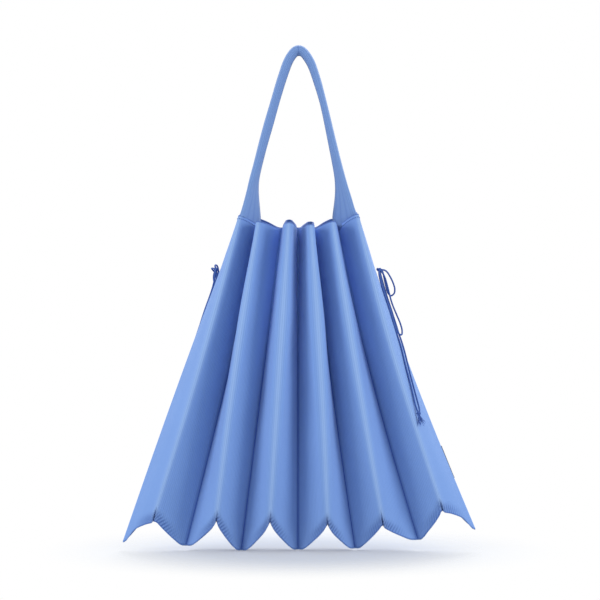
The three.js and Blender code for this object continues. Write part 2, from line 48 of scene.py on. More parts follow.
# The bag's sizes, as in the frame
STRAP_DROP = 180
BODY_HEIGHT = 339
RIM_WIDTH = 124
HEM_WIDTH = 372
PANEL = 42
KNIT = 2
WALL_GAP = 0.9
MOUTH_SWELL = 12.6
BELLY_SWELL = 23
SEAM_SWELL = 1.6
VALLEY_RADIUS = 1.8
SIDE_RADIUS = 2.4
LEAST_RADIUS = KNIT / 2 + 0.35
RIM_CREASE = 0.45
CREASE_SPAN = 0.35
LEAST_TURN = 0.03
STRAP_DEPTH = 11
STRAP_WIDTH = 30
STRAP_TUCK = 12
STRAP_CURL = 2.5
STRAP_CROWN = 6
TIE_DROP = 44
CORD = 1.8
KNOT_RADIUS = 3.2
KNOT_SHIFT = {"left": 3.5, "right": 1.5}
KNOT_GAP = {"left": 0.9, "right": 0.5}
TUFT_LENGTH = 11
TAG_DROP = 230
TAG_LENGTH = 34
TAG_WIDTH = 18
TAG_THICK = 0.8
RIM_Z = -STRAP_DROP
HEM_Z = RIM_Z - BODY_HEIGHT

# What the CAD's flat facets leave to the knit itself
PANEL_BULGE = 0.9  # a panel is a little crowned between its folds
RIPPLE = 0.45  # and uneven where the yarn has relaxed
RIPPLE_WAVES = (19, 47)  # down the panel, over two pi
TUCK_REACH = 15  # how far above the hem the ridges start to turn in
TUCK_SHARE = 0.16  # and how much of their depth they lose there
RIM_SAG = (1.2, 3.8)  # of the rim at its valleys and its ridges
HEM_LIFT = 3.4  # of the hem's notches, which stand towards the eye
SLIT_DEPTH = 6  # of the tuck at the foot of each ridge
SLIT_WIDTH = 1.0
SLIT_FADE = 2.5  # above the slit, where the knit closes again
RIM_BAND = 6  # the top of the wall, drawn with fine rows
HEM_BAND = 8  # and its foot
LINING_ROWS = 45
WALE = 2.1  # from one rib of the knit to the next
COURSE = 1.5  # from one row of stitches to the next
SEAM_DROP = 2.6  # from the rim to the seam under it
OPEN_RIB = 3.1  # across an opened rib at the hem, coarser than it is, so that it shows
INTO_KNOT = 0.55  # how much of its way out of the knot a string has left where it starts
END_KNOT_RADIUS = 2.7
END_CORD = 0.8  # radius of the string where it is pulled tight in the end knot
HAIRS = 16  # to a tuft
HAIR = (0.22, 0.12)  # radius of one at its root and its tip
KNIT_BLUE, KNIT_LIGHT, KNIT_SHADE = "#7799d2", "#81a2da", "#6b8dca"
CREST_HIGHLIGHT_BLUE, FURROW_BLUE, CREASE_BLUE = "#a0bbe0", "#456bae", "#20459a"
STRAP_TINT_BLUE, BOUNCE_LIGHT_BLUE, STITCH_BLUE = "#7f9abd", "#8fb6f6", "#2c4c92"

# Folds from the left side to the right one: kind, place across the rim and the hem, sideways bow,
# height at the rim, at the bottom seam and of the slit, swell of a valley, radius of a ridge
FOLDS = [
    ("side", -0.983, -0.994, -0.04, 0.26, 0.2, 0.2, 0, 0),
    ("ridge", -0.976, -0.803, 0.07, 0.31, 0.68, 1.03, 0, 0.08),
    ("valley", -0.627, -0.64, 0.035, 0.04, 0.12, 0.12, 0.5, 0),
    ("ridge", -0.652, -0.463, -0.03, 0.26, 0.7, 0.81, 0, 0.13),
    ("valley", -0.295, -0.327, 0, 0, 0, 0, 1, 0),
    ("ridge", -0.166, -0.163, 0, 0.24, 0.68, 0.78, 0, 0.17),
    ("valley", -0.017, -0.006, 0, 0, 0.02, 0.02, 1, 0),
    ("ridge", 0.186, 0.158, 0.02, 0.19, 0.62, 0.76, 0, 0.17),
    ("valley", 0.225, 0.317, -0.04, 0, 0.05, 0.05, 0.83, 0),
    ("ridge", 0.542, 0.462, -0.045, 0.26, 0.585, 0.95, 0, 0.14),
    ("valley", 0.633, 0.673, -0.11, 0.05, 0.265, 0.265, 0.5, 0),
    ("ridge", 0.957, 0.795, -0.11, 0.35, 0.95, 1.22, 0, 0.08),
    ("side", 0.975, 0.994, -0.107, 0.26, 0.52, 0.52, 0, 0),
]
FOLD_KEYS = ("kind", "rim_x", "hem_x", "bow", "rim_up", "hem_up", "slit_up", "swell", "round")
FOLDS = [dict(zip(FOLD_KEYS, row)) for row in FOLDS]
LEFT, RIGHT = 0, len(FOLDS) - 1

# The hem between a low fold and the next notch: shares across and up
SCALLOP = ([0, 0.16, 0.45, 0.73, 1], [0, 0.02, 0.3, 0.63, 1])
SIDE_TIP = ([0, 0.08, 0.28, 0.62, 1], [0, 0.08, 0.5, 0.83, 1])

# The strap's outer line: across, up, deep, gather, spread
STRAP = [
    (-0.963, -0.963, 1.4, 0.8, 0.88),
    (-0.889, -0.877, 1.15, 0.25, 0.58),
    (-0.83, -0.754, 0.9, 0.04, 0.24),
    (-0.706, -0.608, 0.88, 0, 0.06),
    (-0.605, -0.457, 1, 0, 0),
    (-0.492, -0.317, 0.96, 0, 0),
    (-0.398, -0.212, 0.95, 0, 0),
    (-0.305, -0.118, 0.95, 0, 0),
    (-0.2, -0.046, 0.97, 0, 0),
    (-0.1, -0.009, 1, 0, 0),
    (0, 0, 1, 0, 0),
    (0.094, -0.012, 1, 0, 0),
    (0.179, -0.042, 0.95, 0, 0),
    (0.289, -0.107, 0.88, 0, 0),
    (0.381, -0.2, 0.8, 0, 0),
    (0.466, -0.317, 0.74, 0, 0),
    (0.55, -0.457, 0.76, 0, 0),
    (0.666, -0.608, 0.88, 0, 0.06),
    (0.776, -0.754, 1.1, 0.08, 0.24),
    (0.865, -0.877, 1.3, 0.4, 0.6),
    (0.94, -0.958, 1.5, 0.85, 0.9),
]
# The strap's outline seen from the front: height, then across: left outer and inner edge, right
# inner and outer edge
STRAP_OUTLINE = [
    (-4, -15.8, -4.7, 5.8, 15.2),
    (-10, -18.1, -7.6, 8.8, 17.7),
    (-24, -23.1, -12.8, 13.8, 22.8),
    (-50, -30.6, -20.8, 22, 29.4),
    (-71, -37, -26.4, 26.4, 34.5),
    (-98, -44.1, -34.4, 31.7, 41),
    (-113, -47.6, -38, 34.7, 44.8),
    (-125, -51.2, -41.2, 37, 48),
    (-135, -53.6, -42.8, 38.2, 50.8),
    (-147, -56, -42.2, 37.8, 54.4),
    (-158, -58.8, -41.2, 36.4, 57.4),
    (-168, -62, -40.2, 34.9, 61.2),
]
STRAP_FOLDS = {"left": (2, 1, 0), "right": (10, 11, 12)}

# The cords' routes from each knot: out, back and up
CORD_ROUTES = {
    "right": {
        "loop_short": [
            (3.3, 0.9, -0.2), (5.8, 1.4, -0.7), (8.4, 1.8, -2.6), (10.9, 2.1, -6.3), (13.2, 2.3, -10.6),
            (15.2, 2.5, -15.4), (16.5, 2.7, -20.4), (15.8, 3, -25.2), (12.6, 3.5, -27.6), (9.5, 4, -24.9),
            (7.7, 4.5, -19.4), (6.3, 5.1, -13.4), (5.2, 5.8, -8), (4.4, 6, -4.2), (3.3, 5.2, -1.6),
            (1.75, 3, -0.5),
        ],
        "loop_long": [
            (2.6, -0.5, -2.3), (4.4, -0.8, -4.9), (6.2, -1.2, -8.8), (8.6, -1.4, -16.9), (11, -1.6, -26.6),
            (13.8, -1.8, -36.2), (18.2, -2, -46.9), (22, -2.4, -56), (24, -3.8, -63.5), (23.4, -6.8, -68),
            (20.4, -9.2, -66.6), (17.2, -9.6, -59.8), (14.2, -9.2, -51.6), (11.2, -8.4, -41),
            (7.6, -7.2, -30.8), (3.9, -5.6, -18), (1.5, -3.4, -8.5), (0.35, -1.2, -3.3),
        ],
        "tail_front": [
            (-0.2, -3.35, -1.6), (-0.3, -5.1, -3.5), (0.1, -6.5, -6.9), (1.1, -7.8, -11.5), (2.8, -9, -17.8),
            (4.9, -10, -24.5), (7.1, -10.8, -31), (9.3, -11.5, -37.5), (11.4, -12.1, -43.5),
            (13, -12.6, -49), (14.6, -13, -55), (16.7, -13.4, -62), (18.9, -14, -68.5), (21.2, -14.8, -75.5),
            (23.5, -16.6, -84), (25.5, -19, -92.5), (27.2, -21.2, -100), (29.9, -24, -110.5),
            (32.6, -26.6, -120.5), (34.9, -29, -130.5), (36.8, -31.2, -138.8), (39.2, -33.2, -146),
        ],
        "tail_back": [
            (1.1, 1.7, -3.1), (1.7, 2.4, -5.6), (2.6, 2.2, -8.8), (3.7, 1.7, -12.8), (5.8, 0.8, -20),
            (8.8, -0.4, -30), (12.5, -2, -41), (15.3, -3.2, -50), (17.9, -3.9, -58), (20.3, -4.3, -66),
            (23.6, -5.6, -75.5), (26.4, -8.3, -85), (28.4, -11.1, -93), (30, -13.6, -100),
            (32.6, -17.2, -110.5), (35.2, -20.8, -120.5), (37.8, -24.6, -130.5), (39.9, -28.4, -138.4),
            (40.9, -31, -142.4), (41.3, -33, -145.8),
        ],
    },
    "left": {
        "loop_short": [
            (1.05, -2.6, 2.1), (1.5, -5, 3.5), (0.8, -9, 4.2), (-0.6, -13.8, 2.8), (-1.6, -18.4, -1.2),
            (-1.6, -21.8, -7), (-0.6, -23.2, -14), (1.2, -22, -20.2), (2.2, -18.8, -22.8),
            (1.8, -15.8, -19.6), (0.4, -14.2, -13), (0.8, -12.2, -7), (2.6, -9.8, -2.8), (4.6, -6.6, -0.2),
            (4.8, -3.8, 1), (3.1, -1.6, 0.9),
        ],
        "loop_long": [
            (0.2, -3.4, -1.1), (0, -6.2, -3), (-0.4, -9.2, -7.5), (0.8, -11.2, -14), (2.8, -12, -22),
            (5.1, -12.6, -30), (8.1, -14.2, -39), (10.8, -17, -48), (12.4, -20, -56), (13.9, -21, -62.5),
            (15.9, -18.4, -67.6), (17.1, -14, -67.6), (15.8, -11.4, -62), (13.6, -10.4, -53),
            (11, -9.4, -44), (7.4, -8.6, -34), (3.8, -8.2, -24), (2.4, -7, -16), (3, -4.9, -10.6),
            (2.8, -2.7, -5.9), (1.75, -1.25, -2.8),
        ],
        "tail_front": [
            (-0.35, -1.95, -3), (-0.7, -2.9, -6), (0.4, -3.7, -11), (2.4, -4.1, -18), (4.8, -4.3, -24.5),
            (7.2, -4.5, -31), (9.6, -4.7, -37.5), (11.7, -5, -43.5), (13.6, -5.4, -49), (15.1, -6, -55),
            (17.3, -6.8, -62), (19.3, -7.8, -68.5), (21.4, -9.4, -75.5), (23.8, -12, -84),
            (25.4, -15.2, -92.5), (26.8, -18.2, -100), (29.2, -22, -110.5), (31.9, -25.4, -120.5),
            (34.6, -28.2, -130.5), (36.8, -30.6, -138.8), (39.2, -33.2, -146),
        ],
        "tail_back": [
            (0.75, 2.2, -2.8), (1.2, 2.7, -5.4), (1.8, 2.2, -9.2), (2.6, 1.2, -13.6), (4.2, -0.2, -20),
            (7.6, -0.9, -30), (11.6, -1.3, -41), (14.6, -1.8, -50), (17.1, -2.4, -58), (19.8, -3.2, -66),
            (22.9, -4.8, -75.5), (25.5, -7.6, -85), (27.2, -10.4, -93), (28.8, -13, -100),
            (31.4, -17.2, -110.5), (34, -20.6, -120.5), (36.9, -24.4, -130.5), (39.5, -28.2, -138.4),
            (40.9, -31, -142.4), (41.3, -33, -145.8),
        ],
    },
}
END_KNOT = (40.3, -34.4, -148.6)
TUFTS = ((0.12, -0.16, -0.98), (0.5, -0.1, -0.86))


def linear(hex_colour):
    channels = [int(hex_colour[i : i + 2], 16) / 255 for i in (1, 3, 5)]
    return tuple(c / 12.92 if c <= 0.04045 else ((c + 0.055) / 1.055) ** 2.4 for c in channels) + (1,)


def add(tree, kind, inputs=(), **settings):
    """The first output of a new node, with its settings and, by socket or in order, its values or
    links."""
    node = tree.nodes.new(kind)
    for name, value in settings.items():
        setattr(node, name, value)
    for socket, value in inputs.items() if isinstance(inputs, dict) else enumerate(inputs):
        if isinstance(value, bpy.types.NodeSocket):
            tree.links.new(value, node.inputs[socket])
        else:
            node.inputs[socket].default_value = value
    return node.outputs[0] if node.outputs else node


def output(socket, name):
    """Another output of the node that a socket belongs to."""
    return socket.node.outputs[name]


def cloth(name, roughness, sheen):
    """A dry cloth or yarn, to be given its colour and its relief."""
    material = bpy.data.materials.new(name)
    material.use_nodes = True
    tree = material.node_tree
    shader = tree.nodes["Principled BSDF"]
    shader.inputs["Roughness"].default_value = roughness
    shader.inputs["Specular IOR Level"].default_value = 0.25
    shader.inputs["Sheen Weight"].default_value = sheen
    shader.inputs["Sheen Roughness"].default_value = 0.5

    def finish(colour, bump=None):
        tree.links.new(colour, shader.inputs["Base Color"])
        if bump:
            tree.links.new(bump, shader.inputs["Normal"])
        return material

    return tree, finish


def bands(tree, along, pitch):
    """A wave between 0 and 1 that peaks once in each pitch of a map coordinate."""
    halves = add(tree, "ShaderNodeMath", (along, 2 / (pitch * MM), 1.0), operation="MULTIPLY_ADD")
    return add(tree, "ShaderNodeMath", (halves, 1.0), operation="PINGPONG")


def pleated_knit():
    """Polyester yarn knitted in fine ribs and heat-set in pleats: matt and a little fuzzy, with a painted
    highlight along each ridge, painted shade in the furrows between ribs and the darkest painted shade deep
    in a fold."""
    tree, finish = cloth("pleated_polyester_knit", 0.82, 0.12)
    across = add(tree, "ShaderNodeSeparateXYZ", (add(tree, "ShaderNodeUVMap", uv_map="knit"),))
    down = output(across, "Y")
    rib = bands(tree, across, WALE)
    # Stitches of neighbouring wales are staggered by half a row
    staggered = add(tree, "ShaderNodeMath", (rib, 0.5 * COURSE * MM, down), operation="MULTIPLY_ADD")
    stitch = bands(tree, staggered, COURSE)
    # The furrows between ribs are sunk in the relief and also given painted shade in the colour
    furrow = add(tree, "ShaderNodeMath", (rib, 3.0), operation="POWER")
    # Fuzz under a millimetre, blotches a hand wide where the yarn took the dye unevenly, and
    # streaks along the ribs from slack and tight yarn
    place = output(add(tree, "ShaderNodeTexCoord"), "Object")
    fuzz = add(tree, "ShaderNodeTexNoise", {"Vector": place, "Scale": 1400.0, "Detail": 2.0})
    blotch = add(tree, "ShaderNodeTexNoise", {"Vector": place, "Scale": 22.0, "Detail": 3.0})
    drawn = add(tree, "ShaderNodeCombineXYZ", (
        add(tree, "ShaderNodeMath", (across, 5 * MM), operation="DIVIDE"),
        add(tree, "ShaderNodeMath", (down, 120 * MM), operation="DIVIDE"),
    ))
    streak = add(tree, "ShaderNodeTexNoise", {"Vector": drawn, "Scale": 1.0, "Detail": 3.0})
    # The ribs are drawn aslant and open out where the knit is cut into scallops
    slanted = add(tree, "ShaderNodeMath", (down, 0.55, across), operation="MULTIPLY_ADD")
    holes = add(tree, "ShaderNodeMath", (stitch, 0.4, 0.6), operation="MULTIPLY_ADD")
    slant = bands(tree, slanted, OPEN_RIB)
    holes = add(tree, "ShaderNodeMath", (slant, holes), operation="MULTIPLY")
    crest, handled, sunk, hem, crease = (
        output(add(tree, "ShaderNodeAttribute", attribute_name=name), "Fac")
        for name in ("crest", "handled", "sunk", "hem", "crease")
    )
    opened = add(tree, "ShaderNodeMath", (hem, holes), operation="MULTIPLY")
    colour = linear(KNIT_BLUE)
    for where, strength, tint in (
        (blotch, 0.5, KNIT_LIGHT),
        (streak, 0.3, KNIT_SHADE),
        # Painted highlight along each ridge
        (crest, 0.5, CREST_HIGHLIGHT_BLUE),
        # The strap is darker and greyer all over
        (handled, 1.0, STRAP_TINT_BLUE),
        # Painted bounce light: light that goes to and fro between close panels comes out a purer blue
        (sunk, 1.0, BOUNCE_LIGHT_BLUE),
        # Painted shade in the furrows between ribs
        (furrow, 0.3, FURROW_BLUE),
        (opened, 1.0, STITCH_BLUE),
        # Painted shade deep in valleys and slits, and the dark seams and cut edges
        (crease, 1.0, CREASE_BLUE),
    ):
        share = add(tree, "ShaderNodeMath", (where, strength), operation="MULTIPLY")
        colour = add(tree, "ShaderNodeMixRGB", (share, colour, linear(tint)))
    height = add(tree, "ShaderNodeMath", (fuzz, 0.35), operation="MULTIPLY")
    for relief, strength in ((stitch, 0.3), (furrow, -0.9)):
        height = add(tree, "ShaderNodeMath", (relief, strength, height), operation="MULTIPLY_ADD")
    bump = add(tree, "ShaderNodeBump", {"Strength": 0.55, "Distance": 0.4 * MM, "Height": height})
    return finish(colour, bump)


def tie_string():
    """Twisted polyester string: matt, darker than the knit, with shade between its strands."""
    tree, finish = cloth("twisted_polyester_string", 0.88, 0.1)
    place = output(add(tree, "ShaderNodeTexCoord"), "Object")
    fibre = add(tree, "ShaderNodeTexNoise", {"Vector": place, "Scale": 2500.0, "Detail": 2.0})
    yarn = add(tree, "ShaderNodeMixRGB", (fibre, linear("#36549a"), linear("#4f6fb6")))
    shade = output(add(tree, "ShaderNodeAttribute", attribute_name="crease"), "Fac")
    bump = add(tree, "ShaderNodeBump", {"Strength": 0.4, "Distance": 0.15 * MM, "Height": fibre})
    return finish(add(tree, "ShaderNodeMixRGB", (shade, yarn, linear("#182c62"))), bump)


def tag_tape():
    """Plain-woven slate tape with a close weave of about half a millimetre and a soft dry surface."""
    tree, finish = cloth("woven_slate_tape", 0.75, 0.1)
    place = add(tree, "ShaderNodeUVMap", uv_map="knit")
    weave = output(add(tree, "ShaderNodeTexChecker", {"Vector": place, "Scale": 1 / (0.5 * MM)}), "Fac")
    bump = add(tree, "ShaderNodeBump", {"Strength": 0.5, "Distance": 0.1 * MM, "Height": weave})
    return finish(add(tree, "ShaderNodeMixRGB", (weave, linear("#5d6474"), linear("#727a8a"))), bump)


def sewing_thread():
    """Spun sewing thread: a shade darker than the knit and slightly smoother."""
    tree, finish = cloth("spun_sewing_thread", 0.6, 0.1)
    place = output(add(tree, "ShaderNodeTexCoord"), "Object")
    fibre = add(tree, "ShaderNodeTexNoise", {"Vector": place, "Scale": 4000.0, "Detail": 1.0})
    return finish(add(tree, "ShaderNodeMixRGB", (fibre, linear("#2f4f96"), linear("#4163a9"))))


def linked(name, data):
    """A new object in the scene."""
    made = bpy.data.objects.new(name, data)
    bpy.context.scene.collection.objects.link(made)
    return made


def make_piece(name, points, faces, material, uv=None, **attributes):
    """A named mesh from points in millimetres, with a map in millimetres and values by point."""
    mesh = bpy.data.meshes.new(name)
    mesh.from_pydata((np.asarray(points, float) * MM).tolist(), [], [list(map(int, f)) for f in faces])
    mesh.polygons.foreach_set("use_smooth", [True] * len(mesh.polygons))
    if uv is not None:
        layer = mesh.uv_layers.new(name="knit")
        corners = np.empty(len(mesh.loops), int)
        mesh.loops.foreach_get("vertex_index", corners)
        layer.data.foreach_set("uv", (np.asarray(uv, float) * MM)[corners].ravel())
    for key, values in attributes.items():
        mesh.attributes.new(key, "FLOAT", "POINT").data.foreach_set("value", np.asarray(values, float))
    mesh.materials.append(material)
    mesh.update()
    return linked(name, mesh)


def wear(piece, node=None):
    """Hides the CAD node that a piece stands for, if one is given, and attaches the piece to the root body.
    """
    if node:
        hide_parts(node)
    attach(piece, "root")


def grid_faces(columns, rows, closed=False, tube=False):
    """Quads of a grid whose points run down each column in turn, or round each ring of a tube."""
    c, r = np.meshgrid(np.arange(columns - 1 + closed), np.arange(rows - 1 + tube), indexing="ij")
    here, over, below = c * rows, (c + 1) % columns * rows, (r + 1) % rows
    return np.stack([here + r, here + below, over + below, over + r], axis=-1).reshape(-1, 4)


def lerp(a, b, share):
    return a + (b - a) * share


def smoothstep(x):
    x = np.clip(x, 0, 1)
    return x * x * (3 - 2 * x)


def bell(x):
    return np.exp(-(x**2))


def distances(line):
    """How far each point is along a line."""
    return np.append(0, np.cumsum(np.linalg.norm(np.diff(line, axis=0), axis=1)))


def stretches(points):
    """The smooth centripetal curve through points, as the cubic's four terms between each two."""
    p = np.asarray(points, float)
    p = np.vstack([2 * p[0] - p[1], p, 2 * p[-1] - p[-2]])
    cubics = []
    for p0, p1, p2, p3 in zip(p, p[1:], p[2:], p[3:]):
        d0, d1, d2 = (max(np.linalg.norm(b - a), 1e-6) ** 0.5 for a, b in ((p0, p1), (p1, p2), (p2, p3)))
        m1 = ((p1 - p0) / d0 - (p2 - p0) / (d0 + d1) + (p2 - p1) / d1) * d1
        m2 = ((p2 - p1) / d1 - (p3 - p1) / (d1 + d2) + (p3 - p2) / d2) * d1
        cubics.append((p1, m1, 3 * (p2 - p1) - 2 * m1 - m2, 2 * (p1 - p2) + m1 + m2))
    return cubics


def follow(points, spacing):
    """Points along the smooth curve through the given ones, evenly spaced, and its length."""
    t = np.linspace(0, 1, 33)[:-1, None]
    line = [a + b * t + c * t**2 + d * t**3 for a, b, c, d in stretches(points)]
    line = np.vstack([*line, points[-1]])
    run = distances(line)
    at = np.linspace(0, run[-1], max(int(run[-1] / spacing), 2) + 1)
    return np.stack([np.interp(at, run, line[:, k]) for k in range(3)], axis=1), run[-1]


def sweep(line, radius, sides, lay=0, closed=False):
    """A tube round a line, laid up of three strands where lay, the length of one turn, is given."""
    line = np.asarray(line, float)
    count = len(line)
    ahead = np.roll(line, -1, 0) - np.roll(line, 1, 0)
    if not closed:
        ahead[0], ahead[-1] = line[1] - line[0], line[-1] - line[-2]
    ahead /= np.linalg.norm(ahead, axis=1)[:, None]
    normal = np.cross(ahead[0], (0.3, 0.9, 0.1))
    radii = np.broadcast_to(radius, count)
    points, furrows, maps, run = [], [], [], 0.0
    turn = np.linspace(0, 2 * math.pi, sides, endpoint=False)
    for i in range(count):
        normal = normal - ahead[i] * normal.dot(ahead[i])
        normal /= np.linalg.norm(normal)
        side = np.cross(ahead[i], normal)
        run += np.linalg.norm(line[i] - line[i - 1]) if i else 0
        phase = 2 * math.pi * run / lay if lay else 0
        lobe = np.abs(np.cos(1.5 * (turn - phase))) if lay else np.ones(sides)
        r = radii[i] * (0.82 + 0.2 * lobe) if lay else radii[i] * lobe
        points.append(line[i] + r[:, None] * (np.cos(turn)[:, None] * normal + np.sin(turn)[:, None] * side))
        furrows.append((1 - lobe) ** 2)
        maps.append(np.stack([turn, np.full(sides, run)], 1))
    faces = [*grid_faces(count, sides, closed, tube=True)]
    if not closed:
        around = np.arange(sides)
        faces += [around[::-1], around + (count - 1) * sides]
    return np.vstack(points), faces, np.vstack(maps), np.concatenate(furrows)


def rim_z(fold):
    return RIM_Z + fold["rim_up"] * PANEL


def notch_z(fold):
    return HEM_Z + fold["hem_up"] * PANEL


def slit_z(fold):
    return HEM_Z + fold["slit_up"] * PANEL


def hem_x(fold):
    return fold["hem_x"] * HEM_WIDTH / 2


def down_share(fold, z):
    return (rim_z(fold) - z) / (rim_z(fold) - slit_z(fold))


def fold_x(fold, z):
    down = down_share(fold, z)
    bend = np.sin(math.pi * np.clip(down, 0, 1))
    return lerp(fold["rim_x"] * RIM_WIDTH / 2, hem_x(fold), down) + fold["bow"] * PANEL * bend


def valley_y(fold, z):
    down = np.clip(down_share(fold, z), 0, 1)
    belly = BELLY_SWELL - (MOUTH_SWELL + SEAM_SWELL) / 2
    swell = lerp(MOUTH_SWELL, SEAM_SWELL, down) + belly * 4 * down * (1 - down)
    return -np.maximum(SEAM_SWELL, fold["swell"] * swell)


def ridge_y(index, z):
    def reach(other):
        run = fold_x(FOLDS[index], z) - fold_x(FOLDS[other], z)
        y = 0 if FOLDS[other]["kind"] == "side" else valley_y(FOLDS[other], z)
        return y - np.sqrt(np.maximum(PANEL**2 - run**2, 0))

    return (reach(index - 1) + reach(index + 1)) / 2


def rod(ring, z):
    """The rod that a fold is bent round at height z: x, y, radius and turn. The folds are numbered
    round the bag, the front ones first."""
    ring %= 2 * RIGHT
    index = ring if ring <= RIGHT else 2 * RIGHT - ring
    front = 1 if ring <= RIGHT else -1
    fold = FOLDS[index]
    x = fold_x(fold, z)
    if fold["kind"] == "side":
        return x + (SIDE_RADIUS if index == LEFT else -SIDE_RADIUS), 0 * x, SIDE_RADIUS + 0 * x, 1
    if fold["kind"] == "valley":
        return x, front * (valley_y(fold, z) - VALLEY_RADIUS), VALLEY_RADIUS + 0 * x, -1
    opened = smoothstep(down_share(fold, z) / CREASE_SPAN)
    radius = np.maximum(fold["round"] * PANEL * lerp(RIM_CREASE, 1, opened), LEAST_RADIUS)
    return x, front * (ridge_y(index, z) + radius), radius, 1


def behind(rod):
    """The mirror image of a rod at the back."""
    return (rod[0], -rod[1], *rod[2:])


def run_angle(start, end):
    """Which way a straight run that touches two rods faces."""
    dx, dy = end[0] - start[0], end[1] - start[1]
    slant = np.arcsin((start[3] * start[2] - end[3] * end[2]) / np.hypot(dx, dy))
    return np.arctan2(dy, dx) - math.pi / 2 + slant


def turn_to(start, end):
    """The shortest turn from one angle to another."""
    return np.arctan2(np.sin(end - start), np.cos(end - start))


def bent(start, end, way, arc):
    """The angle at a share of a fold's arc. A fold that has opened flat keeps a trace of its bend, so
    that the knit doesn't turn back on itself there."""
    swing = turn_to(start, end)
    return start + swing / 2 + way * np.maximum(way * swing, LEAST_TURN) * (arc - 0.5)


def wall_point(ring, arc, along, z, outwards):
    """A point of the wall's section at height z: at a share of a fold's arc, or a share of the way
    along the panel to the next fold."""
    here, ahead = rod(ring, z), rod(ring + 1, z)
    angle = run_angle(here, ahead)
    if along is None:
        angle = bent(run_angle(rod(ring - 1, z), here), angle, here[3], arc)
        reach = here[3] * here[2] + outwards
        return here[0] + reach * np.cos(angle), here[1] + reach * np.sin(angle)
    first, last = here[3] * here[2] + outwards, ahead[3] * ahead[2] + outwards
    crown = PANEL_BULGE * math.sin(math.pi * along) ** 2
    short, long = (np.sin(z / wave + step * ring) for wave, step in zip(RIPPLE_WAVES, (2.3, 1)))
    crown = crown + RIPPLE * math.sin(math.pi * along) * short * long
    reach = lerp(first, last, along) + crown
    return (
        lerp(here[0], ahead[0], along) + reach * np.cos(angle),
        lerp(here[1], ahead[1], along) + reach * np.sin(angle),
    )


def front_columns():
    """Columns of the front, left side to right side: fold, share of its arc, share of its panel."""
    q = np.linspace(-1, 1, 17)
    arcs = {
        "ridge": 0.5 + 0.5 * np.sign(q) * np.abs(q) ** 1.5,
        "valley": np.linspace(0, 1, 7),
        "side": np.linspace(0, 1, 9),
    }
    columns = []
    for ring, fold in enumerate(FOLDS):
        shares = arcs[fold["kind"]]
        if ring == LEFT:
            shares = shares[shares >= 0.5]
        if ring == RIGHT:
            shares = shares[shares <= 0.5]
        columns += [(ring, share, None) for share in shares]
        if ring < RIGHT:
            columns += [(ring, None, share) for share in np.linspace(0, 1, 12)[1:-1]]
    return columns


COLUMNS = front_columns()


def hem_rise(low, across):
    """How much of the way up to the notch the hem has risen, on a smooth line through its table."""
    xs, ups = SIDE_TIP if low["kind"] == "side" else SCALLOP
    slopes = np.gradient(ups, xs)
    i = min(int(np.searchsorted(xs, across, side="right")) - 1, len(xs) - 2)
    span = xs[i + 1] - xs[i]
    t = (across - xs[i]) / span
    up = (2 * t**3 - 3 * t**2 + 1) * ups[i] + (t**3 - 2 * t**2 + t) * span * slopes[i]
    return up + (3 * t**2 - 2 * t**3) * ups[i + 1] + (t**3 - t**2) * span * slopes[i + 1]


def fold_distances():
    """Distance of each column along the knit, at half height, and from each fold's middle."""
    z = np.float64(RIM_Z - 0.5 * BODY_HEIGHT)
    points = np.array([wall_point(*column, z, KNIT / 2) for column in COLUMNS], float)
    run = distances(points)
    middle = {}
    for ring in range(len(FOLDS)):
        own = [i for i, column in enumerate(COLUMNS) if column[0] == ring and column[2] is None]
        # Only one half of a side fold is at the front
        middle[ring] = run[own[{LEFT: 0, RIGHT: -1}.get(ring, len(own) // 2)]]
    return run, middle


RUN, FOLD_MIDDLE = fold_distances()


def from_low(column, low):
    """How far a column is along the knit from its low fold's middle, as a share of a panel."""
    run = RUN[COLUMNS.index(column)]
    middle = FOLD_MIDDLE[FOLDS.index(low)]
    ridges = np.array([m for i, m in FOLD_MIDDLE.items() if FOLDS[i]["kind"] == "ridge"])
    same_side = ridges[(ridges - middle) * (run - middle) >= 0]
    nearest = same_side[np.argmin(np.abs(same_side - run))]
    return float(np.clip(abs(run - middle) / abs(nearest - middle), 0, 1))


def rim_sag(fold):
    """How far the rim has sagged at a fold, which it does only between the strap's ends."""
    if not STRAP_FOLDS["left"][0] < FOLDS.index(fold) < STRAP_FOLDS["right"][0]:
        return 0
    return RIM_SAG[fold["kind"] == "ridge"]


def column_frame(column):
    """A column's height at the rim and at the hem, how far it is from its low fold to its ridge, and
    the height of that ridge's slit."""
    ring, arc, along = column
    fold = FOLDS[ring]
    onward = along is not None or (arc >= 0.5 and ring < RIGHT)
    other = FOLDS[ring + 1 if onward else ring - 1]
    low, ridge = (other, fold) if fold["kind"] == "ridge" else (fold, other)
    rise = from_low(column, low)
    top = lerp(rim_z(low), rim_z(ridge), lerp(rise, (1 - math.cos(math.pi * rise)) / 2, 0.6))
    top -= lerp(rim_sag(low), rim_sag(ridge), rise)
    z = lerp(slit_z(low), notch_z(ridge), 0.5)
    for _ in range(4):
        x = float(wall_point(ring, arc, along, np.float64(z), KNIT / 2)[0])
        across = float(np.clip((x - hem_x(low)) / (hem_x(ridge) - hem_x(low)), 0, 1))
        z = lerp(slit_z(low), notch_z(ridge) + HEM_LIFT, hem_rise(low, across))
    return top, z, across, slit_z(ridge) - notch_z(ridge)


COLUMN_FRAMES = [column_frame(column) for column in COLUMNS]


def from_fold(kind):
    """Distance of each column along the knit from the nearest fold of a kind."""
    places = [FOLD_MIDDLE[i] for i, fold in enumerate(FOLDS) if fold["kind"] == kind]
    return np.min(np.abs(RUN[:, None] - np.array(places)), axis=1)


FROM_RIDGE, FROM_VALLEY = from_fold("ridge"), from_fold("valley")
ACROSS = np.array([column[2] for column in COLUMN_FRAMES])
SLOT = bell(FROM_RIDGE / SLIT_WIDTH)


